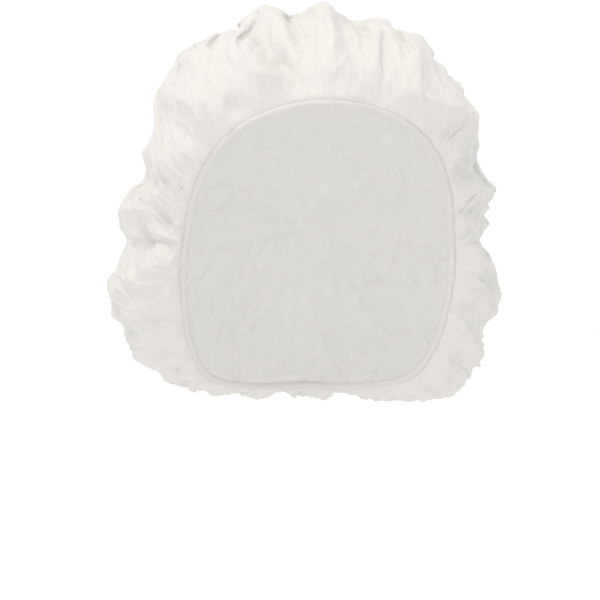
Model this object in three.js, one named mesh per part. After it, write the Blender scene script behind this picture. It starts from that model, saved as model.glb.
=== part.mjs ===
// A disposable bouffant cap (mob-cap hairnet) of thin spun-bond cloth, as it stands when it is worn.
// Millimetres, +Z up. The face looks out along -Y and +X is the wearer's left.
// The origin is where the top of the wearer's head comes to, inside the crown.
//
// The cloth is described as ribs. A rib leaves the gathered hem at one angle around the face, swells out to
// the puffed edge of the cap and closes over the back of the head. "around" is that angle in degrees, from
// 0 straight above the brow, positive towards +X, to 180 at the nape. "reach" is a distance from the axis
// that runs from front to back through AXIS_HEIGHT.
import * as THREE from 'three';

const AXIS_HEIGHT = -100;
const BACK_OF_CAP = 140;
const CLOTH_WALL = 1.1;
const GAP_TO_HEM = 0.3;

// The crown is one cloth. It stands here in five patches, so that each is a simple bowl: four reach from the
// hem round to the back, and a round one closes the middle of the back. SPLIT_GAP is left between them.
const PATCHES = [
  { name: 'crown_over_brow', from: -45, to: 45 },
  { name: 'crown_beside_plus_x', from: 45, to: 135 },
  { name: 'crown_over_nape', from: 135, to: 225 },
  { name: 'crown_beside_minus_x', from: 225, to: 315 },
];
const BACK_PATCH = 'crown_back';
const BACK_PATCH_FROM = 1.62;
const SPLIT_GAP = 0.3;

const RIBS = 96;
const PATCH_ROWS = 13;
const BACK_ROWS = 4;
const HEM_SIDES = 8;

// The steps along and across a rib over which the slope of the cloth is measured.
const PROBE_PLACE = 0.02;
const PROBE_ANGLE = 1;

// Small even gathers where the cloth enters the hem, and the share of the front that they run along.
const GATHERS = 24;
const GATHER_HEIGHT = 1.1;
const GATHER_FULL = 0.1;
const GATHER_RUN = 0.55;

// How far the cloth swells forward between the hem and the puffed edge.
const FORWARD_SWELL = 7;

// The elastic hem, one half: how far out it runs, how deep (its Y), and how wide its roll is.
const HEM_HALF = [
  { around: 0, reach: 66, deep: -92, roll: 3.6 },
  { around: 25, reach: 68, deep: -88, roll: 3.6 },
  { around: 45, reach: 72, deep: -80, roll: 4.0 },
  { around: 62, reach: 74, deep: -69, roll: 4.6 },
  { around: 78, reach: 75, deep: -55, roll: 5.2 },
  { around: 94, reach: 77, deep: -43, roll: 5.6 },
  { around: 110, reach: 84, deep: -32, roll: 5.6 },
  { around: 124, reach: 93, deep: -19, roll: 5.6 },
  { around: 136, reach: 104, deep: -3, roll: 5.2 },
  { around: 147, reach: 111, deep: 14, roll: 4.8 },
  { around: 160, reach: 106, deep: 40, roll: 4.8 },
  { around: 180, reach: 100, deep: 60, roll: 4.8 },
];
const HEM_THICKNESS = 3.2;
// How much slimmer every second ring of the roll is, where the elastic draws it in.
const HEM_RUCHE = 0.12;

// The puffed edge, all the way round: how far out the cloth stands and how deep it does so.
// Rows that stand out are the crests of the large folds, and rows that fall in are the dents between them.
const PUFF = [
  { around: -170, reach: 110, deep: 76 },
  { around: -156, reach: 117, deep: 62 },
  { around: -146, reach: 123, deep: 50 },
  { around: -136, reach: 119, deep: 40 },
  { around: -127, reach: 133, deep: 32 },
  { around: -118, reach: 121, deep: 26 },
  { around: -109, reach: 121, deep: 20 },
  { around: -98, reach: 111, deep: 16 },
  { around: -86, reach: 115, deep: 12 },
  { around: -75, reach: 103, deep: 8 },
  { around: -62, reach: 109, deep: 4 },
  { around: -50, reach: 117, deep: 0 },
  { around: -40, reach: 123, deep: -4 },
  { around: -31, reach: 124, deep: -6 },
  { around: -23, reach: 120, deep: -8 },
  { around: -15, reach: 129, deep: -8 },
  { around: -6, reach: 122, deep: -10 },
  { around: 2, reach: 126, deep: -10 },
  { around: 11, reach: 120, deep: -8 },
  { around: 18, reach: 125, deep: -8 },
  { around: 25, reach: 119, deep: -6 },
  { around: 32, reach: 123, deep: -4 },
  { around: 48, reach: 114, deep: 0 },
  { around: 60, reach: 108, deep: 4 },
  { around: 72, reach: 103, deep: 8 },
  { around: 80, reach: 108, deep: 8 },
  { around: 92, reach: 101, deep: 12 },
  { around: 104, reach: 104, deep: 16 },
  { around: 119, reach: 122, deep: 24 },
  { around: 125, reach: 119, deep: 28 },
  { around: 133, reach: 142, deep: 36 },
  { around: 142, reach: 137, deep: 44 },
  { around: 156, reach: 119, deep: 60 },
  { around: 170, reach: 110, deep: 76 },
];

// Behind the puffed edge those crests sink into one full round: its reach above, at the sides and below.
const ROUND_BACK = { above: 126, beside: 110, below: 112 };
const ROUND_FROM = 1.0;
const ROUND_BY = 1.55;

// Single folds on top of that. "start" and "end" are places along the rib: 0 at the hem, 1 at the puffed
// edge, 2 at the middle of the back. "lean" is how many degrees a fold drifts on its way.
const FOLDS = [
  { name: 'brow crease', around: -13, lean: -8, start: 0.02, end: 0.95, width: 5, height: -4 },
  { name: 'brow fold', around: -24, lean: -10, start: 0.02, end: 1.2, width: 6, height: 3 },
  { name: 'middle fold', around: 2, lean: 1, start: 0.1, end: 1.5, width: 5, height: 4 },
  { name: 'right brow fold', around: 20, lean: 6, start: 0.05, end: 1.3, width: 5, height: 3 },
  { name: 'right swoop', around: 44, lean: 16, start: 0.05, end: 0.8, width: 5, height: 6 },
  { name: 'right hollow', around: 62, lean: 6, start: 0.15, end: 0.9, width: 6, height: -7 },
  { name: 'right cheek puff', around: 104, lean: 4, start: 0.2, end: 1.3, width: 7, height: 5 },
  { name: 'left temple crease', around: -58, lean: 6, start: 0.02, end: 0.9, width: 4, height: -6 },
  { name: 'left temple fold', around: -70, lean: -4, start: 0.05, end: 0.8, width: 5, height: 6 },
  { name: 'left ear hollow', around: -94, lean: 0, start: 0.1, end: 0.8, width: 6, height: -5 },
  { name: 'left cheek fold', around: -108, lean: -4, start: 0.05, end: 1.3, width: 6, height: 5 },
  { name: 'left jaw dent', around: -128, lean: 0, start: 0.1, end: 0.8, width: 6, height: -4 },
  { name: 'back fold, low left', around: -160, lean: 18, start: 0.9, end: 1.8, width: 9, height: 4 },
  { name: 'back dent, left', around: -124, lean: 14, start: 1.05, end: 1.85, width: 9, height: -5 },
  { name: 'back fold, left', around: -96, lean: -10, start: 1.0, end: 1.7, width: 10, height: 5 },
  { name: 'back dent, top left', around: -62, lean: -8, start: 1.1, end: 1.8, width: 9, height: -4 },
  { name: 'back fold, top left', around: -34, lean: 12, start: 1.0, end: 1.75, width: 8, height: 4 },
  { name: 'back dent, top', around: 8, lean: 10, start: 1.1, end: 1.8, width: 8, height: -4 },
  { name: 'back fold, top right', around: 40, lean: -8, start: 1.0, end: 1.8, width: 9, height: 4 },
  { name: 'back fold, right', around: 88, lean: 12, start: 1.0, end: 1.75, width: 10, height: 5 },
  { name: 'back dent, right', around: 118, lean: -12, start: 1.05, end: 1.8, width: 9, height: -5 },
  { name: 'back fold, low right', around: 158, lean: -14, start: 0.9, end: 1.8, width: 9, height: 4 },
];
const FOLD_FADE = 0.25;

const cloth = new THREE.MeshStandardMaterial({ color: 0xf2f1ec, roughness: 0.8, metalness: 0 });
const rolledEdge = new THREE.MeshStandardMaterial({ color: 0xf6f5f1, roughness: 0.75, metalness: 0 });

const HEM = [...HEM_HALF.slice(1, -1).map(row => ({ ...row, around: -row.around })).reverse(), ...HEM_HALF];

/** One column of a table at any angle: a smooth closed curve through its rows. */
function columnAt(table, column, around) {
  const count = table.length;
  const row = index => table[((index % count) + count) % count];
  const angle = index => row(index).around + 360 * Math.floor(index / count);
  const slope = index => {
    const rise = row(index + 1)[column] - row(index - 1)[column];
    return rise / (angle(index + 1) - angle(index - 1));
  };
  const first = table[0].around;
  const turned = first + ((((around - first) % 360) + 360) % 360);
  let next = 1;
  while (angle(next) <= turned) {
    next += 1;
  }
  const span = angle(next) - angle(next - 1);
  const t = (turned - angle(next - 1)) / span;
  const rise = t * t * (3 - 2 * t);
  const easeOut = t * (1 - t) * (1 - t) * span * slope(next - 1);
  const easeIn = t * t * (t - 1) * span * slope(next);
  return row(next - 1)[column] * (1 - rise) + row(next)[column] * rise + easeOut + easeIn;
}

/** The shortest way from one angle to another, in degrees. */
const angleBetween = (from, to) => ((((to - from + 180) % 360) + 360) % 360) - 180;

/** How far the single folds lift the cloth at a place on a rib. */
function foldLift(around, place) {
  let lift = 0;
  for (const fold of FOLDS) {
    const along = (place - fold.start) / (fold.end - fold.start);
    const across = angleBetween(fold.around + fold.lean * along, around) / fold.width;
    const fadeIn = THREE.MathUtils.smoothstep(place, fold.start, fold.start + FOLD_FADE);
    const fadeOut = 1 - THREE.MathUtils.smoothstep(place, fold.end - FOLD_FADE, fold.end);
    lift += fold.height * Math.exp(-across * across) * fadeIn * fadeOut;
  }
  return lift;
}

/** The lift of the small gathers, which die away from the hem. */
function gatherLift(around, place) {
  const starts = THREE.MathUtils.smoothstep(place, 0, GATHER_FULL);
  const ends = 1 - THREE.MathUtils.smoothstep(place, GATHER_FULL, GATHER_RUN);
  return GATHER_HEIGHT * Math.cos(THREE.MathUtils.degToRad(around) * GATHERS) * starts * ends;
}

/** The reach of the full round at the back of the cap, at any angle. */
function roundReach(around) {
  const up = Math.cos(THREE.MathUtils.degToRad(around));
  const end = up > 0 ? ROUND_BACK.above : ROUND_BACK.below;
  return ROUND_BACK.beside + (end - ROUND_BACK.beside) * up * up;
}

/** A point given by its angle around the face, its reach and its depth. */
function pointAt(around, reach, deep) {
  const turn = THREE.MathUtils.degToRad(around);
  return new THREE.Vector3(reach * Math.sin(turn), deep, AXIS_HEIGHT + reach * Math.cos(turn));
}

/** The outside of the cloth at a place along the rib at an angle. */
function clothPoint(around, place) {
  const hemReach = columnAt(HEM, 'reach', around) + columnAt(HEM, 'roll', around) / 2 + GAP_TO_HEM;
  const hemDeep = columnAt(HEM, 'deep', around) - CLOTH_WALL / 2;
  const puffReach = columnAt(PUFF, 'reach', around);
  const puffDeep = columnAt(PUFF, 'deep', around);
  const quarter = Math.PI / 2;
  const front = Math.min(place, 1) * quarter;
  const back = Math.max(place - 1, 0) * quarter;
  const lift = foldLift(around, place) + gatherLift(around, place);
  const swell = -FORWARD_SWELL * Math.sin(2 * front);
  if (place <= 1) {
    const reach = hemReach + (puffReach - hemReach) * Math.sin(front) + lift * Math.sin(front);
    const deep = hemDeep + (puffDeep - hemDeep) * (1 - Math.cos(front)) + swell - lift * Math.cos(front);
    return pointAt(around, reach, deep);
  }
  const rounded = THREE.MathUtils.smoothstep(place, ROUND_FROM, ROUND_BY);
  const backReach = puffReach * (1 - rounded) + roundReach(around) * rounded;
  const reach = (backReach + lift) * Math.cos(back);
  const deep = puffDeep + (BACK_OF_CAP - puffDeep + lift) * Math.sin(back);
  return pointAt(around, reach, deep);
}

/** The inside of the cloth behind a point of its outside. At the hem the wall goes straight back. */
function insidePoint(around, place) {
  const outside = clothPoint(around, place);
  if (place === 0) {
    return outside.setY(outside.y + CLOTH_WALL);
  }
  const along = clothPoint(around, place + PROBE_PLACE).sub(clothPoint(around, place - PROBE_PLACE));
  const across = clothPoint(around + PROBE_ANGLE, place).sub(clothPoint(around - PROBE_ANGLE, place));
  return outside.add(across.cross(along).setLength(CLOTH_WALL));
}

/** A closed mesh from its points and the corners of its triangles. */
function meshOf(name, material, points, index) {
  const geometry = new THREE.BufferGeometry();
  const positions = points.flatMap(point => point.toArray());
  geometry.setAttribute('position', new THREE.Float32BufferAttribute(positions, 3));
  geometry.setIndex(index);
  geometry.computeVertexNormals();
  const mesh = new THREE.Mesh(geometry, material);
  mesh.name = name;
  return mesh;
}

/** A closed mesh from rings of points of equal length. Each pair of neighbouring rings is joined by a strip. */
function closedSkin(name, material, rings, caps) {
  const size = rings[0].length;
  const index = [];
  const joins = caps.length ? rings.length - 1 : rings.length;
  for (let ring = 0; ring < joins; ring += 1) {
    const next = (ring + 1) % rings.length;
    for (let step = 0; step < size; step += 1) {
      const after = (step + 1) % size;
      const here = ring * size;
      const beyond = next * size;
      index.push(here + step, here + after, beyond + after);
      index.push(here + step, beyond + after, beyond + step);
    }
  }
  caps.forEach((cap, order) => {
    const tip = rings.length * size + order;
    for (let step = 0; step < size; step += 1) {
      const here = cap.ring * size + step;
      const after = cap.ring * size + ((step + 1) % size);
      index.push(...(cap.ring === 0 ? [tip, after, here] : [tip, here, after]));
    }
  });
  return meshOf(name, material, rings.flat().concat(caps.map(cap => cap.tip)), index);
}

/** One patch of the crown: the cloth between two ribs, from the hem to the round patch at the back. */
function makePatch({ name, from, to }) {
  const steps = ((to - from) / 360) * RIBS;
  const width = steps + 1;
  const ribAt = (step, place) => {
    const around = from + ((to - from) * step) / steps;
    const at = clothPoint(around, place);
    const reach = Math.hypot(at.x, at.z - AXIS_HEIGHT);
    const drawnIn = THREE.MathUtils.radToDeg(SPLIT_GAP / 2 / reach);
    const side = Number(step === 0) - Number(step === steps);
    return around + side * drawnIn;
  };
  const end = splitPlace(-1);
  const outside = [];
  const inside = [];
  for (let row = 0; row <= PATCH_ROWS; row += 1) {
    const place = (end * row) / PATCH_ROWS;
    for (let step = 0; step < width; step += 1) {
      const around = ribAt(step, place);
      outside.push(clothPoint(around, place));
      inside.push(insidePoint(around, place));
    }
  }
  const index = [];
  const quad = (a, b, c, d) => index.push(a, b, c, a, c, d);
  const under = outside.length;
  for (let row = 0; row < PATCH_ROWS; row += 1) {
    const here = row * width;
    for (let step = here; step < here + steps; step += 1) {
      quad(step, step + width, step + width + 1, step + 1);
      quad(under + step, under + step + 1, under + step + width + 1, under + step + width);
    }
    const far = here + steps;
    quad(here, under + here, under + here + width, here + width);
    quad(far, far + width, under + far + width, under + far);
  }
  const last = PATCH_ROWS * width;
  for (let step = 0; step < steps; step += 1) {
    quad(step, step + 1, under + step + 1, under + step);
    quad(last + step, under + last + step, under + last + step + 1, last + step + 1);
  }
  return meshOf(name, cloth, [...outside, ...inside], index);
}

/** Where a patch's edge lies beside the split round the back patch: side -1 before it, 1 after it. */
function splitPlace(side) {
  const before = clothPoint(0, BACK_PATCH_FROM - PROBE_PLACE);
  const after = clothPoint(0, BACK_PATCH_FROM + PROBE_PLACE);
  const millimetres = before.distanceTo(after) / (2 * PROBE_PLACE);
  return BACK_PATCH_FROM + (side * SPLIT_GAP) / 2 / millimetres;
}

/** The round patch at the middle of the back. */
function makeBackPatch() {
  const start = splitPlace(1);
  const places = Array.from({ length: BACK_ROWS }, (_, row) => start + ((2 - start) * row) / BACK_ROWS);
  const angles = Array.from({ length: RIBS }, (_, rib) => (360 * rib) / RIBS);
  const outer = places.map(place => angles.map(around => clothPoint(around, place)));
  const inner = places.map(place => angles.map(around => insidePoint(around, place)));
  const outerTip = clothPoint(0, 2).setX(0);
  const innerTip = outerTip.clone().setY(outerTip.y - CLOTH_WALL);
  const rings = [...outer.reverse(), ...inner];
  const caps = [{ ring: 0, tip: outerTip }, { ring: rings.length - 1, tip: innerTip }];
  return closedSkin(BACK_PATCH, cloth, rings, caps);
}

/** The hem: a closed loop of cloth rolled over its elastic, which grips the head. */
function makeHem() {
  const rings = Array.from({ length: RIBS }, (_, rib) => {
    const around = (360 * rib) / RIBS;
    const roll = columnAt(HEM, 'roll', around) / 2;
    const ruche = 1 - HEM_RUCHE * (rib % 2);
    return Array.from({ length: HEM_SIDES }, (__, side) => {
      const turn = (-2 * Math.PI * (side + 0.5)) / HEM_SIDES;
      const reach = columnAt(HEM, 'reach', around) + roll * ruche * Math.cos(turn);
      const deep = columnAt(HEM, 'deep', around) + (HEM_THICKNESS / 2) * ruche * Math.sin(turn);
      return pointAt(around, reach, deep);
    });
  });
  return closedSkin('elastic_hem', rolledEdge, rings, []);
}

const cap = new THREE.Group();
cap.add(...PATCHES.map(makePatch), makeBackPatch(), makeHem());

export default cap;
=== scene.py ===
"""A disposable bouffant cap of thin spun-bond cloth, gathered into a rolled elastic hem, in its worn shape."""
import math

import bpy
import numpy as np
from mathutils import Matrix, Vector
from mathutils.bvhtree import BVHTree


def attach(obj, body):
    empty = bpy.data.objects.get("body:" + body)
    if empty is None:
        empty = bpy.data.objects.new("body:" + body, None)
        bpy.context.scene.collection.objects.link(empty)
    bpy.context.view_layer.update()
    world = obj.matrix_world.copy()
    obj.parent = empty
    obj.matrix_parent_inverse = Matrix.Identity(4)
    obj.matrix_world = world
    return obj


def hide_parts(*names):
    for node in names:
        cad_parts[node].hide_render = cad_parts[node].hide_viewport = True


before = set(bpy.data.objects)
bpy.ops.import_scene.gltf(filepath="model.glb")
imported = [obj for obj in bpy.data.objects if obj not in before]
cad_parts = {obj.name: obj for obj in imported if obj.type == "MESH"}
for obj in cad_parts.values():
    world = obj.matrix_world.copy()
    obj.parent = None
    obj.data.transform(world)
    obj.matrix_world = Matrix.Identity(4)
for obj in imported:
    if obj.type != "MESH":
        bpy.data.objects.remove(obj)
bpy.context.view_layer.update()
MM = 0.001
AXIS_HEIGHT = -100 * MM
CROWN_NODES = (
    "crown_over_brow", "crown_beside_plus_x", "crown_over_nape", "crown_beside_minus_x", "crown_back",
)

# The cap as it was cut and sewn.
DISC_RADIUS = 265 * MM

SURROUND_LIGHT = 1.04
FLOOR_SIDE = 8.0
FLOOR_HEIGHT = -0.34
SOFTBOXES = [
    # name, place in metres, side in metres, watts, colour
    ("overhead softbox", (-0.4, -0.75, 1.25), 0.5, 10, "fff1e0"),
    ("front left softbox", (-1.5, -1.0, 0.7), 0.8, 3, "f6f9ff"),
]

# Single folds of the front, seen from straight ahead. Each runs from one place to another, given by the angle
# around the face in degrees (0 above the brow, positive towards +X) and the reach in mm from the hollow's axis.
# "rise" is its height in mm, below zero for a crease, and "wide" how far its slope runs to each side in mm.
FRONT_FOLDS = [
    # name, around, reach, to around, to reach, rise, wide
    ("brow crease, upper", -19.0, 108, -16.0, 95, -3, 6),
    ("brow crease, lower", -16.0, 95, -7.5, 74, -6, 6),
    ("edge of the light patch", -26.0, 112, -25.0, 88, 5, 7),
    ("soft crease, left of middle", -8.0, 112, -6.0, 94, -3, 6),
    ("soft crease, right of middle", 5.0, 124, 7.0, 98, -3, 6),
    ("upright crease", 18.0, 112, 24.0, 75, -4, 5),
    ("short upright fold", 30.0, 106, 34.0, 90, 3, 6),
    ("swoop, first ridge", 33.0, 82, 50.0, 96, 7, 6),
    ("swoop, hollow", 52.0, 84, 56.0, 96, -5, 8),
    ("swoop, second ridge", 58.0, 82, 56.0, 101, 6, 6),
    ("crumple over the hem", -27.0, 90, -20.0, 84, 4, 4),
    ("temple crease", -41.0, 86, -41.0, 72, -5, 5),
    ("temple crumple", -45.0, 108, -48.0, 94, 3, 6),
    ("temple arc, upper", -50.0, 104, -53.0, 88, 5, 6),
    ("temple arc, lower", -53.0, 88, -60.0, 74, 4, 5),
    ("left ear crease, first", -75.0, 94, -82.0, 76, -5, 5),
    ("left ear crease, second", -88.0, 98, -92.0, 82, -5, 5),
    ("left ear crease, third", -97.0, 101, -101.0, 80, -5, 5),
    ("left cheek ridge", -115.0, 130, -119.0, 108, 6, 6),
    ("left cheek crease", -105.0, 78, -113.0, 104, -5, 5),
    ("left jaw fold", -125.0, 122, -138.0, 124, 5, 6),
    ("left nape line", -140.0, 126, -133.0, 96, 5, 5),
    ("right ear crease, first", 72.0, 92, 76.0, 76, -4, 4),
    ("right ear crease, second", 86.0, 96, 88.0, 80, -5, 4),
    ("right ear crease, third", 97.0, 98, 101.0, 82, -4, 4),
    ("right cheek ridge", 112.0, 116, 108.0, 88, 6, 6),
    ("right cheek crease", 119.0, 108, 117.0, 88, -6, 5),
    ("right jaw ridge", 128.0, 128, 122.0, 98, 5, 6),
    ("right jaw crease", 134.0, 128, 128.0, 104, -6, 5),
]
# Sharp crests where large folds stand out at the puffed edge: around, rise in mm.
CRESTS = [
    (-128, 5), (-146, 4), (-107, 6), (-87, 4), (-69, 4), (-50, 3), (-39, 3), (-22, 3),
    (-13, 4), (2, 4), (17, 3), (29, 4), (46, 3), (57, 3), (65, 4), (80, 4),
    (91, 4), (104, 4), (116, 4), (128, 5), (141, 4), (155, 4), (172, 3), (-164, 3),
]
# How many degrees to each side a crest fades over, and the height that the crests add on the average.
CREST_WIDE = 5.0
CREST_MEAN = 3.0 * MM
# The single folds fade out behind this depth, over FOLD_FADE, and the crests over CREST_DEPTHS. The crests
# rise between the reaches CREST_REACHES.
FRONT_ENDS = 30 * MM
FOLD_FADE = 50 * MM
CREST_DEPTHS = (60 * MM, 115 * MM)
CREST_REACHES = (84 * MM, 112 * MM)
# How much of each fold is laid on again, once the cloth has settled and softened it.
SHARPENED = 0.6
# Small crumples: size across, height and seed.
CRUMPLES = [(60 * MM, 4.0 * MM, 21), (30 * MM, 2.0 * MM, 22), (16 * MM, 0.5 * MM, 23)]

# Rings of threads from the middle of the disc to its hem, before the mesh is halved.
COARSE_RINGS = 44
SEED = 7
# How the cloth settles, from the coarse mesh to the finest: rounds, room outwards, bending and swell.
SETTLING = [
    (240, 1.5 * MM, 0.8, 0.05 * MM),
    (120, 2.0 * MM, 0.5, 0.03 * MM),
    (60, 2.0 * MM, 0.5, 0.02 * MM),
]
# How deep its folds may fall in, how hard a stretched thread pulls back, and after how many rounds the single
# folds are read again.
FOLD_ROOM = 6 * MM
PULL = 1.9
READ_AGAIN = 5
# The share of its width that the cloth gives up to the roll at the hem, and the share of the disc's radius
# where that starts.
HEM_DRAWN = 0.56
HEM_DRAWN_FROM = 0.62
# The share of its width that it gives up towards the nape, where the hem draws it together.
NAPE_EASED = 0.2
# The back lies plainer: this share of its cloth is eased into it, out to these shares of the disc.
BACK_EASED = 0.05
BACK_ENDS = (0.35, 0.7)
# From this depth to that the back grows plainer. There its pleats are eased in this many rounds.
PLAIN_BACK = (10 * MM, 55 * MM)
EASING_ROUNDS = 40

# The roll of the hem: its gathers, and the steps and sides of its mesh.
HEM_GATHERS = 230
STEPS_PER_GATHER = 8
ROLL_SIDES = 14
ROLL_WRAP = 14 * MM


# ---------------------------------------------------------------- small helpers

def linear(hex_colour):
    """An sRGB hex colour as Blender's linear red, green, blue and alpha."""
    parts = [int(hex_colour[k:k + 2], 16) / 255 for k in (0, 2, 4)]
    return tuple(c / 12.92 if c <= 0.04045 else ((c + 0.055) / 1.055) ** 2.4 for c in parts) + (1.0,)


def add(tree, kind, settings=None, links=None):
    """Adds a node: settings go to its inputs or to the node itself, links to its inputs."""
    node = tree.nodes.new(kind)
    for name, value in (settings or {}).items():
        if isinstance(name, str) and hasattr(node, name):
            setattr(node, name, value)
        else:
            node.inputs[name].default_value = value
    for name, socket in (links or {}).items():
        tree.links.new(socket, node.inputs[name])
    return node


def smooth(values, low, high):
    """0 up to the low value, 1 from the high one on, with a soft turn at both."""
    t = np.clip((values - low) / (high - low), 0, 1)
    return t * t * (3 - 2 * t)


# ---------------------------------------------------------------- the room

def make_room():
    """A pale floor well below the cap, an even pale surround, and soft lights from above and the front left."""
    scene = bpy.context.scene
    scene.view_settings.view_transform = "Standard"
    scene.cycles.diffuse_bounces = 8
    scene.cycles.transparent_max_bounces = 32
    world = bpy.data.worlds.new("pale surround")
    scene.world = world
    world.use_nodes = True
    tree = world.node_tree
    background = tree.nodes["Background"]
    background.inputs["Color"].default_value = (1, 1, 1, 1)
    background.inputs["Strength"].default_value = SURROUND_LIGHT
    floor_mesh = bpy.data.meshes.new("floor")
    corners = [(x * FLOOR_SIDE, y * FLOOR_SIDE, FLOOR_HEIGHT) for x, y in ((-1, -1), (1, -1), (1, 1), (-1, 1))]
    floor_mesh.from_pydata(corners, [], [(0, 1, 2, 3)])
    floor = bpy.data.objects.new("floor", floor_mesh)
    scene.collection.objects.link(floor)
    paint = bpy.data.materials.new("pale matt floor")
    paint.use_nodes = True
    coat = paint.node_tree.nodes["Principled BSDF"]
    coat.inputs["Base Color"].default_value = linear("fdfdfd")
    coat.inputs["Roughness"].default_value = 0.9
    floor_mesh.materials.append(paint)
    for name, place, size, watts, colour in SOFTBOXES:
        add_softbox(name, place, (0, 0, -0.1), size, watts, colour)


def add_softbox(name, place, aim, size, watts, colour):
    """A square soft light that faces a point."""
    light = bpy.data.lights.new(name, "AREA")
    light.color = linear(colour)[:3]
    light.size = size
    light.energy = watts
    holder = bpy.data.objects.new(name, light)
    bpy.context.scene.collection.objects.link(holder)
    holder.location = place
    holder.rotation_euler = (Vector(aim) - Vector(place)).to_track_quat("-Z", "Y").to_euler()


def make_camera():
    """A long lens a little to the wearer's right of straight ahead, level with the cheeks."""
    turn = math.radians(-5.5)
    rise = math.radians(1.0)
    away = 1.7
    seen_width = 0.357
    aim = Vector((-0.0075, 0.0, -0.147))
    lens = bpy.data.cameras.new("camera")
    lens.sensor_width = 36
    lens.lens = 36 * away / seen_width
    lens.clip_start = 0.05
    lens.clip_end = 30
    camera = bpy.data.objects.new("camera", lens)
    bpy.context.scene.collection.objects.link(camera)
    direction = Vector((math.sin(turn) * math.cos(rise), -math.cos(turn) * math.cos(rise), math.sin(rise)))
    camera.location = aim + direction * away
    camera.rotation_euler = (-direction).to_track_quat("-Z", "Y").to_euler()
    bpy.context.scene.camera = camera


# ---------------------------------------------------------------- the cloth's finish

def spunbond_polypropylene(name, colour, openness):
    """Spun-bond polypropylene: fine melt-spun threads laid at random and welded in small dots.

    It gives the eye a soft matt white that light comes through, cloudy where the threads lie thick or thin.
    """
    material = bpy.data.materials.new(name)
    material.use_nodes = True
    tree = material.node_tree
    tree.nodes.clear()
    cut = add(tree, "ShaderNodeUVMap", {"uv_map": "flat cut"})
    # clouds of thick and thin lay, 9 mm and 2 mm across
    clouds = add(tree, "ShaderNodeTexNoise", {"Scale": 1 / 0.009, "Detail": 4.0, "Roughness": 0.62},
                 {"Vector": cut.outputs[0]})
    # single threads: long fine streaks, 0.7 mm apart
    drawn = add(tree, "ShaderNodeMapping", {"Scale": (1.0, 0.22, 1.0)}, {"Vector": cut.outputs[0]})
    threads = add(tree, "ShaderNodeTexNoise",
                  {"Scale": 1 / 0.0007, "Detail": 3.0, "Roughness": 0.6, "Distortion": 0.6},
                  {"Vector": drawn.outputs[0]})
    lay = add(tree, "ShaderNodeMix", {"data_type": "FLOAT", 0: 0.4},
              {2: clouds.outputs["Fac"], 3: threads.outputs["Fac"]})
    thick = add(tree, "ShaderNodeMapRange", {1: 0.3, 2: 0.7, 3: openness * 1.5, 4: openness * 0.5},
                {0: lay.outputs[0]})
    # weld dots, 1.6 mm apart
    dots = add(tree, "ShaderNodeTexVoronoi", {"Scale": 1 / 0.0016, "Randomness": 0.15},
               {"Vector": cut.outputs[0]})
    weld = add(tree, "ShaderNodeMapRange", {1: 0.18, 2: 0.34, 3: 0.0, 4: 1.0}, {0: dots.outputs["Distance"]})
    height = add(tree, "ShaderNodeMix", {"data_type": "FLOAT", 0: 0.35},
                 {2: threads.outputs["Fac"], 3: weld.outputs[0]})
    fine = add(tree, "ShaderNodeBump", {"Strength": 0.25, "Distance": 0.00012}, {"Height": height.outputs[0]})
    # sharp little creases that stay in the cloth once it has been crushed, 11 mm apart
    folds = add(tree, "ShaderNodeTexNoise",
                {"Scale": 1 / 0.011, "Detail": 3.0, "Roughness": 0.5, "Distortion": 0.8},
                {"Vector": cut.outputs[0]})
    off_middle = add(tree, "ShaderNodeMath", {"operation": "SUBTRACT", 1: 0.5}, {0: folds.outputs["Fac"]})
    creases = add(tree, "ShaderNodeMath", {"operation": "ABSOLUTE"}, {0: off_middle.outputs[0]})
    bump = add(tree, "ShaderNodeBump", {"Strength": 0.3, "Distance": 0.0025},
               {"Height": creases.outputs[0], "Normal": fine.outputs[0]})
    cloth = add(tree, "ShaderNodeBsdfPrincipled", {
        "Base Color": linear(colour), "Roughness": 0.62, "IOR": 1.49,
        "Sheen Weight": 0.15, "Sheen Roughness": 0.5},
        {"Normal": bump.outputs[0]})
    glow = add(tree, "ShaderNodeBsdfTranslucent", {"Color": linear(colour)}, {"Normal": bump.outputs[0]})
    body = add(tree, "ShaderNodeMixShader", {0: 0.28}, {1: cloth.outputs[0], 2: glow.outputs[0]})
    gaps = add(tree, "ShaderNodeBsdfTransparent")
    whole = add(tree, "ShaderNodeMixShader", {}, {0: thick.outputs[0], 1: body.outputs[0], 2: gaps.outputs[0]})
    out = add(tree, "ShaderNodeOutputMaterial", {}, {"Surface": whole.outputs[0]})
    return material


# ---------------------------------------------------------------- reading the CAD

def cad_points(node):
    """The corner points of a CAD node, in metres."""
    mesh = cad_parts[node].data
    points = np.empty(len(mesh.vertices) * 3)
    mesh.vertices.foreach_get("co", points)
    return points.reshape(-1, 3)


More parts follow.
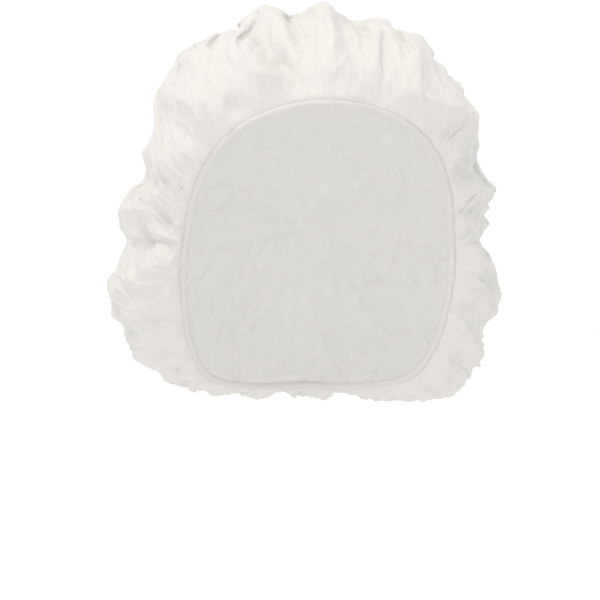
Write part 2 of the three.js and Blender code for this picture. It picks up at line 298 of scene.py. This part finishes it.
class Hollow:
    """The worn shape as the CAD holds it: how far off the cloth lies in each direction from its middle."""

    STEP = math.radians(1.5)
    REACH = math.radians(168)

    def __init__(self):
        crown = np.vstack([cad_points(node) for node in CROWN_NODES])
        self.middle = (crown.min(0) + crown.max(0)) / 2
        self.middle[0] = 0
        hem = cad_points("elastic_hem")
        hem_middle = hem.mean(0)
        across = np.linalg.svd(hem - hem_middle, full_matrices=False)[2][2]
        across[0] = 0
        across /= np.linalg.norm(across)
        self.pole = across if across[1] > 0 else -across
        self.side = np.array([1.0, 0.0, 0.0])
        self.brow = np.cross(self.side, self.pole)
        if self.brow[2] < 0:
            self.brow = -self.brow
        self.read_hem(hem)
        self.read_crown()

    def turned(self, points):
        """(distance, angle from the pole, angle round it) of points, from the middle of the hollow."""
        out = points - self.middle
        distance = np.linalg.norm(out, axis=1)
        from_pole = np.arccos(np.clip(out @ self.pole / distance, -1, 1))
        around = np.arctan2(out @ self.side, out @ self.brow)
        return distance, from_pole, around

    def direction(self, from_pole, around):
        """Unit directions out of the middle of the hollow."""
        s = np.sin(from_pole)[:, None]
        flat = np.cos(around)[:, None] * self.brow + np.sin(around)[:, None] * self.side
        return np.cos(from_pole)[:, None] * self.pole + s * flat

    def read_hem(self, hem):
        """The hem's roll, ring by ring: its middle, the way out, and half its width and depth."""
        angle = np.degrees(np.arctan2(hem[:, 0], hem[:, 2] - AXIS_HEIGHT))
        rings = np.unique(np.round(angle, 1))
        found = []
        for ring in rings:
            near = hem[np.abs(angle - ring) < 0.5]
            out = np.array([math.sin(math.radians(ring)), 0.0, math.cos(math.radians(ring))])
            reach = (near - [0, 0, AXIS_HEIGHT]) @ out
            middle = out * (reach.max() + reach.min()) / 2
            middle += [0, (near[:, 1].max() + near[:, 1].min()) / 2, AXIS_HEIGHT]
            found.append([*middle, *out, np.ptp(reach) / 2, np.ptp(near[:, 1]) / 2])
        found = np.array(found)
        gap = np.diff(rings, append=rings[0] + 360) > 1.0
        self.hem_rings = found[gap]
        steps = np.linalg.norm(np.roll(self.hem_rings[:, :3], -1, 0) - self.hem_rings[:, :3], axis=1)
        self.hem_length = steps.sum()
        self.hem_run = np.concatenate([[0], np.cumsum(steps)])

    def on_hem(self, share):
        """The hem's columns at a share of its length from the nape round, smoothly between its rings."""
        count = len(self.hem_rings)
        place = np.interp(np.mod(share, 1.0) * self.hem_length, self.hem_run, np.arange(count + 1))
        at = np.floor(place).astype(int)
        t = (place - at)[:, None]
        a, b, c, d = (self.hem_rings[(at + k) % count] for k in (-1, 0, 1, 2))
        return b + 0.5 * t * (c - a + t * (2 * a - 5 * b + 4 * c - d + t * (3 * (b - c) + d - a)))

    def read_crown(self):
        """A table of how far off the crown's inside lies, by angle from the pole and angle round it."""
        points, faces = [], []
        for node in CROWN_NODES:
            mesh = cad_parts[node].data
            faces += [tuple(corner + len(points) for corner in p.vertices) for p in mesh.polygons]
            points += [v.co[:] for v in mesh.vertices]
        tree = BVHTree.FromPolygons(points, faces)
        rows = int(self.REACH / self.STEP) + 1
        columns = int(round(2 * math.pi / self.STEP))
        self.table = np.full((rows, columns), np.nan)
        middle = Vector(self.middle)
        for column in range(columns):
            angles = np.arange(rows) * self.STEP
            ways = self.direction(angles, np.full(rows, column * self.STEP))
            for row in range(rows):
                hit = tree.ray_cast(middle, Vector(ways[row]))
                if hit[0] is not None:
                    self.table[row, column] = (hit[0] - middle).length
                elif row:
                    self.table[row, column] = self.table[row - 1, column]
        for _ in range(2):
            t = self.table
            t = (np.roll(t, 1, 1) + 2 * t + np.roll(t, -1, 1)) / 4
            t[1:-1] = (t[:-2] + 2 * t[1:-1] + t[2:]) / 4
            self.table = t

    def distance(self, from_pole, around):
        """How far the cloth of the CAD lies that way, read between the table's entries."""
        rows, columns = self.table.shape
        r = np.clip(from_pole / self.STEP, 0, rows - 1.001)
        c = np.mod(around / self.STEP, columns)
        r0 = r.astype(int)
        c0 = c.astype(int) % columns
        c1 = (c0 + 1) % columns
        fr, fc = r - r0, c - np.floor(c)
        t = self.table
        return (t[r0, c0] * (1 - fr) + t[r0 + 1, c0] * fr) * (1 - fc) + (
            t[r0, c1] * (1 - fr) + t[r0 + 1, c1] * fr
        ) * fc


# ---------------------------------------------------------------- the cloth

def cut_disc(rings):
    """A flat round of cloth as even triangles: (points, triangles). Ring k holds 6k points."""
    points = [(0.0, 0.0)]
    first = [0]
    for ring in range(1, rings + 1):
        first.append(len(points))
        for step in range(6 * ring):
            turn = 2 * math.pi * step / (6 * ring)
            reach = DISC_RADIUS * ring / rings
            points.append((reach * math.sin(turn), reach * math.cos(turn)))
    triangles = []
    for ring in range(1, rings + 1):
        inner_count, outer_count = 6 * (ring - 1), 6 * ring
        for side in range(6):
            for step in range(ring):
                a = first[ring] + (side * ring + step) % outer_count
                b = first[ring] + (side * ring + step + 1) % outer_count
                inner = first[ring - 1] + ((side * (ring - 1) + step) % inner_count if inner_count else 0)
                triangles.append((a, inner, b))
                if step < ring - 1:
                    after = first[ring - 1] + (side * (ring - 1) + step + 1) % inner_count
                    triangles.append((inner, after, b))
    return np.array(points), np.array(triangles)


def edges_of(triangles):
    """(edges, the two points that face each other across each inner edge)"""
    sides = np.concatenate([triangles[:, [0, 1]], triangles[:, [1, 2]], triangles[:, [2, 0]]])
    facing = np.concatenate([triangles[:, 2], triangles[:, 0], triangles[:, 1]])
    sides.sort(axis=1)
    order = np.lexsort((sides[:, 1], sides[:, 0]))
    sides, facing = sides[order], facing[order]
    same = (sides[1:] == sides[:-1]).all(1)
    first = np.concatenate([[True], ~same])
    across = np.stack([facing[:-1][same], facing[1:][same]], 1)
    return sides[first], across


def halve(flat, worn, triangles):
    """Every triangle cut into four."""
    edges, _ = edges_of(triangles)
    count = len(flat)
    index = edges[:, 0].astype(np.int64) * count + edges[:, 1]
    order = np.argsort(index)
    index = index[order]

    def middle(a, b):
        low, high = np.minimum(a, b).astype(np.int64), np.maximum(a, b)
        return count + order[np.searchsorted(index, low * count + high)]

    a, b, c = triangles.T
    ab, bc, ca = middle(a, b), middle(b, c), middle(c, a)
    finer = np.concatenate([np.stack(t, 1) for t in ((a, ab, ca), (ab, b, bc), (ca, bc, c), (ab, bc, ca))])
    flat = np.vstack([flat, flat[edges].mean(1)])
    worn = np.vstack([worn, worn[edges].mean(1)])
    return flat, worn, finer


def soft_noise(flat, size, seed):
    """Smooth seeded noise over the flat cloth, about -1 to 1, with features of the given size."""
    draw = np.random.default_rng(seed)
    total = np.zeros(len(flat))
    waves = 40
    for _ in range(waves):
        turn = draw.uniform(0, 2 * math.pi)
        pitch = 2 * math.pi / size * draw.uniform(0.6, 1.5)
        way = np.array([math.cos(turn), math.sin(turn)]) * pitch
        total += np.sin(flat @ way + draw.uniform(0, 2 * math.pi))
    return total / math.sqrt(waves / 2) / 1.5


def push(points, pairs, rest, stiffness, count, only_short=False):
    """Moves every pair of points towards its rest distance, all pairs at once."""
    between = points[pairs[:, 1]] - points[pairs[:, 0]]
    length = np.sqrt((between ** 2).sum(1)) + 1e-9
    wrong = (length - rest) / length
    if only_short:
        wrong = np.minimum(wrong, 0)
    move = between * (wrong * stiffness * 0.5)[:, None]
    total = np.empty_like(points)
    size = len(points)
    for k in range(3):
        total[:, k] = np.bincount(pairs[:, 0], move[:, k], size) - np.bincount(pairs[:, 1], move[:, k], size)
    return total / count[:, None]


def rest_lengths(flat, pairs):
    """Flat distances, with the cloth's width drawn in towards the hem and the nape and its back eased."""
    middle = flat[pairs].mean(1)
    far = np.linalg.norm(middle, axis=1)
    out = middle / (far[:, None] + 1e-9)
    between = flat[pairs[:, 1]] - flat[pairs[:, 0]]
    along = (between * out).sum(1)
    width = between - out * along[:, None]
    share = 1 - HEM_DRAWN * smooth(far / DISC_RADIUS, HEM_DRAWN_FROM, 1)
    nape = smooth(-middle[:, 1] / (far + 1e-9), -0.2, 0.6) * smooth(far / DISC_RADIUS, 0.1, 0.4)
    share *= 1 - NAPE_EASED * nape
    eased = 1 - BACK_EASED * (1 - smooth(far / DISC_RADIUS, *BACK_ENDS))
    return eased * np.sqrt(along ** 2 + (width ** 2).sum(1) * share ** 2)


def hand_folds(points):
    """How far the single folds and crests lift the cloth at some points, in metres."""
    up = points[:, 2] - AXIS_HEIGHT
    reach = np.hypot(points[:, 0], up)
    around = np.degrees(np.arctan2(points[:, 0], up))
    spot = np.stack([points[:, 0], up], 1)
    front = 1 - smooth(points[:, 1], FRONT_ENDS, FRONT_ENDS + FOLD_FADE)
    lift = np.zeros(len(points))
    for _, start_around, start_reach, end_around, end_reach, rise, wide in FRONT_FOLDS:
        a, b = (
            np.array([math.sin(math.radians(turn)), math.cos(math.radians(turn))]) * far * MM
            for turn, far in ((start_around, start_reach), (end_around, end_reach))
        )
        run = b - a
        along = np.clip((spot - a) @ run / (run @ run), 0, 1)
        off = np.linalg.norm(spot - a - along[:, None] * run, axis=1)
        lift += rise * MM * np.exp(-off / (wide * MM) * 0.9) * front
    edge = smooth(reach, *CREST_REACHES) * (1 - smooth(points[:, 1], *CREST_DEPTHS))
    crests = np.full(len(points), -CREST_MEAN)
    for crest, rise in CRESTS:
        off = np.abs((around - crest + 180) % 360 - 180)
        crests += rise * MM * np.exp(-off / CREST_WIDE)
    return lift + crests * edge


def ease(worn, triangles, rounds, share):
    """Draws every point towards its neighbours, by its own share. Tight pleats open into soft creases."""
    edges, _ = edges_of(triangles)
    size = len(worn)
    count = np.bincount(edges.ravel(), minlength=size)[:, None]
    for _ in range(rounds):
        total = np.empty_like(worn)
        for k in range(3):
            total[:, k] = np.bincount(edges[:, 0], worn[edges[:, 1], k], size)
            total[:, k] += np.bincount(edges[:, 1], worn[edges[:, 0], k], size)
        worn = worn + (total / count - worn) * share[:, None]
    return worn


def crumple(flat, worn, triangles, hollow):
    """Small sharp crumples: strong at the sides and the nape, faint over the brow."""
    corners = worn[triangles]
    face = np.cross(corners[:, 1] - corners[:, 0], corners[:, 2] - corners[:, 0])
    normal = np.zeros_like(worn)
    for k in range(3):
        for side in range(3):
            normal[:, k] += np.bincount(triangles[:, side], face[:, k], len(worn))
    normal /= np.linalg.norm(normal, axis=1)[:, None] + 1e-12
    normal *= np.sign(((worn - hollow.middle) * normal).sum(1).mean())
    around = np.abs(np.degrees(np.arctan2(worn[:, 0], worn[:, 2] - AXIS_HEIGHT)))
    amount = 0.3 + 0.7 * smooth(around, 35, 75)
    amount *= np.clip((1 - np.linalg.norm(flat, axis=1) / DISC_RADIUS) / 0.04, 0, 1)
    rise = np.zeros(len(flat))
    for size, height, seed in CRUMPLES:
        rise += height * (0.45 - np.minimum(np.abs(soft_noise(flat, size, seed)), 1.2))
    return worn + normal * (rise * amount)[:, None]


def settle(flat, worn, triangles, hollow, rounds, room_out, bend, swell):
    """Lets the cloth find its folds between the hem and the shape that the CAD gives."""
    edges, across = edges_of(triangles)
    rest = rest_lengths(flat, edges)
    rest_across = rest_lengths(flat, across)
    size = len(flat)
    edge_count = np.bincount(edges.ravel(), minlength=size).astype(float)
    across_count = np.maximum(np.bincount(across.ravel(), minlength=size), 1).astype(float)
    out = np.linalg.norm(flat, axis=1) / DISC_RADIUS
    held = out > 0.9999
    fade = np.clip((1 - out) / 0.12, 0, 1)
    hem_places = worn[held].copy()
    worn = worn.copy()
    for turn in range(rounds):
        if turn % READ_AGAIN == 0:
            distance, from_pole, around = hollow.turned(worn)
            way = (worn - hollow.middle) / distance[:, None]
            lift = fade * hand_folds(hollow.middle + way * hollow.distance(from_pole, around)[:, None])
        worn += push(worn, edges, rest, PULL, edge_count)
        worn += push(worn, across, rest_across, bend, across_count, only_short=True)
        distance, from_pole, around = hollow.turned(worn)
        way = (worn - hollow.middle) / distance[:, None]
        target = hollow.distance(from_pole, around) + lift
        low = target - FOLD_ROOM * (0.25 + 0.75 * fade)
        high = target + room_out * (0.4 + 0.6 * fade)
        wanted = np.clip(distance, low, high)
        worn += way * ((wanted - distance) * 0.5 + swell * (distance < target))[:, None]
        worn[held] = hem_places
    return worn


def put_on(flat, hollow):
    """Where each point of the flat disc starts: the disc's middle at the pole, its edge at the hem."""
    out = np.linalg.norm(flat, axis=1)
    turn = np.arctan2(flat[:, 0], flat[:, 1])
    share = turn / (2 * math.pi) + 0.5
    rolled = hollow.on_hem(share)
    hem = rolled[:, :3] + rolled[:, 3:6] * rolled[:, 6:7] * 0.5
    _, hem_from_pole, hem_around = hollow.turned(hem)
    t = out / DISC_RADIUS
    from_pole = hem_from_pole * t
    distance = hollow.distance(from_pole, hem_around)
    worn = hollow.middle + hollow.direction(from_pole, hem_around) * distance[:, None]
    edge = t > 0.9999
    worn[edge] = hem[edge]
    return worn


def off_the_hem(flat):
    """0 at the edge of the disc, 1 from a twentieth of its radius inwards."""
    return np.clip((1 - np.linalg.norm(flat, axis=1) / DISC_RADIUS) / 0.05, 0, 1)


def make_piece(name, points, faces, cut, finish, nodes):
    """One smooth mesh in place of some CAD nodes. The cut gives each point's place on the flat cloth."""
    mesh = bpy.data.meshes.new(name)
    mesh.from_pydata(points.tolist(), [], faces.tolist())
    mesh.polygons.foreach_set("use_smooth", np.ones(len(faces), bool))
    layer = mesh.uv_layers.new(name="flat cut")
    corners = np.empty(len(mesh.loops), int)
    mesh.loops.foreach_get("vertex_index", corners)
    layer.data.foreach_set("uv", cut[corners].ravel())
    mesh.materials.append(finish)
    piece = bpy.data.objects.new(name, mesh)
    bpy.context.scene.collection.objects.link(piece)
    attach(piece, "root")
    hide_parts(*nodes)
    return piece


def make_crown(hollow):
    """The crown: one round of cloth, settled between the hem and the worn shape."""
    flat, triangles = cut_disc(COARSE_RINGS)
    worn = put_on(flat, hollow)
    distance, _, _ = hollow.turned(worn)
    way = (worn - hollow.middle) / distance[:, None]
    worn += way * (soft_noise(flat, 45 * MM, SEED) * 3 * MM * off_the_hem(flat))[:, None]
    stages = SETTLING
    for stage, numbers in enumerate(stages):
        if stage:
            flat, worn, triangles = halve(flat, worn, triangles)
        worn = settle(flat, worn, triangles, hollow, *numbers)
    inner = off_the_hem(flat)
    behind = smooth(worn[:, 1], *PLAIN_BACK)
    rounds = EASING_ROUNDS
    worn = ease(worn, triangles, rounds, inner * (0.04 + 0.76 * behind))
    way = worn - hollow.middle
    way /= np.linalg.norm(way, axis=1)[:, None]
    worn += way * (SHARPENED * hand_folds(worn) * inner)[:, None]
    worn = crumple(flat, worn, triangles, hollow)
    finish = spunbond_polypropylene("spun-bond polypropylene", "dcdbd9", 0.14)
    return make_piece("crown_cloth", worn, triangles, flat, finish, CROWN_NODES)


def make_hem(hollow):
    """The rolled hem: a closed loop, ruched by the small gathers that the elastic draws up."""
    steps, sides = HEM_GATHERS * STEPS_PER_GATHER, ROLL_SIDES
    share = np.arange(steps) / steps
    rings = hollow.on_hem(share)
    draw = np.random.default_rng(SEED + 1)
    uneven = np.zeros(steps)
    for _ in range(24):
        uneven += np.sin(2 * math.pi * (draw.integers(10, 120) * share + draw.uniform()))
    phase = 2 * math.pi * HEM_GATHERS * share + 0.9 * uneven / 3.5
    ruche = 1 + 0.04 * np.sin(phase) + 0.02 * np.sin(2.3 * phase + 1) * np.sin(11 * 2 * math.pi * share)
    turn = 2 * math.pi * np.arange(sides) / sides
    out = rings[:, None, 3:6] * (rings[:, 6] * ruche)[:, None, None] * np.cos(turn)[None, :, None]
    deep = np.array([0, 1.0, 0]) * (rings[:, 7] * ruche)[:, None, None] * np.sin(turn)[None, :, None]
    points = (rings[:, None, :3] + out + deep).reshape(-1, 3)
    here = np.arange(steps)[:, None] * sides + np.arange(sides)[None, :]
    after = np.roll(here, -1, 0)
    faces = np.stack([here, np.roll(here, -1, 1), np.roll(after, -1, 1), after], -1).reshape(-1, 4)
    run = np.repeat(share * math.pi * 2 * DISC_RADIUS, sides)
    wrap = np.tile(turn / (2 * math.pi) * ROLL_WRAP, steps)
    finish = spunbond_polypropylene("rolled spun-bond polypropylene", "dfdedc", 0.02)
    cut = np.stack([run, wrap], 1)
    return make_piece("hem_roll", points, faces, cut, finish, ["elastic_hem"])


make_room()
make_camera()
hollow = Hollow()
crown = make_crown(hollow)
make_hem(hollow)
